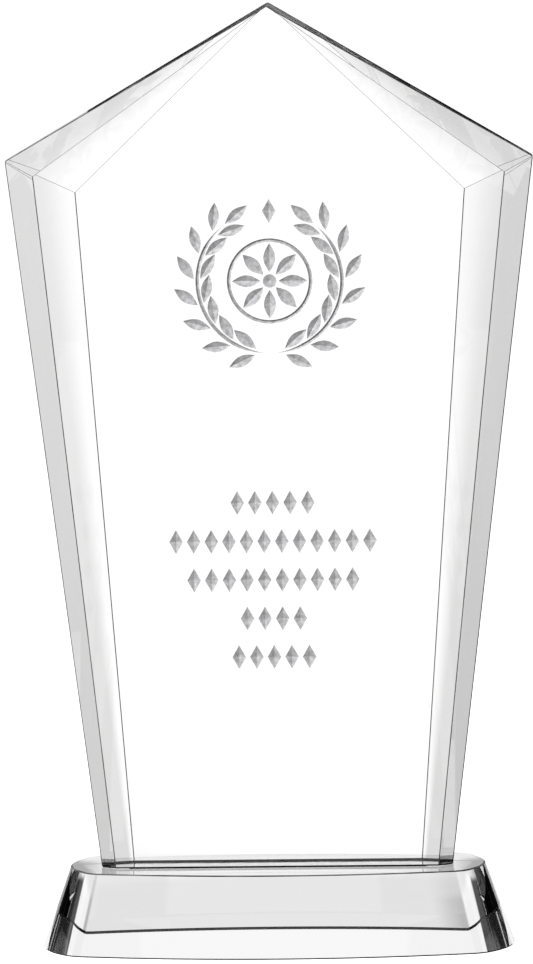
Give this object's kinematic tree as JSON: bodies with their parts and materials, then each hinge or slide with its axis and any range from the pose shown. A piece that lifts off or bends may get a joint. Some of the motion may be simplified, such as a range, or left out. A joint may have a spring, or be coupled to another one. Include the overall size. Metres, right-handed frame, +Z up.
{
  "type": "crystal award",
  "caption": "Pentagonal clear-glass award plaque with bevelled faces and an engraved emblem, bonded upright on a tapered glass base.",
  "frame": {"origin": "middle of the underside of the base, where the award rests on a table", "axes": "+Z up towards the apex; the engraved front face looks towards -Y; +X is to the viewer's right"},
  "size_m": [0.1316, 0.048, 0.2367],
  "materials": {
    "base_glass": "polished clear optical glass",
    "bond_adhesive": "clear cured adhesive",
    "plaque_glass": "polished clear optical glass with frosted engraving"
  },
  "bodies": {
    "root": {"crystal_base": "base_glass", "bond_film": "bond_adhesive", "crystal_plaque": "plaque_glass"}
  },
  "joints": []
}
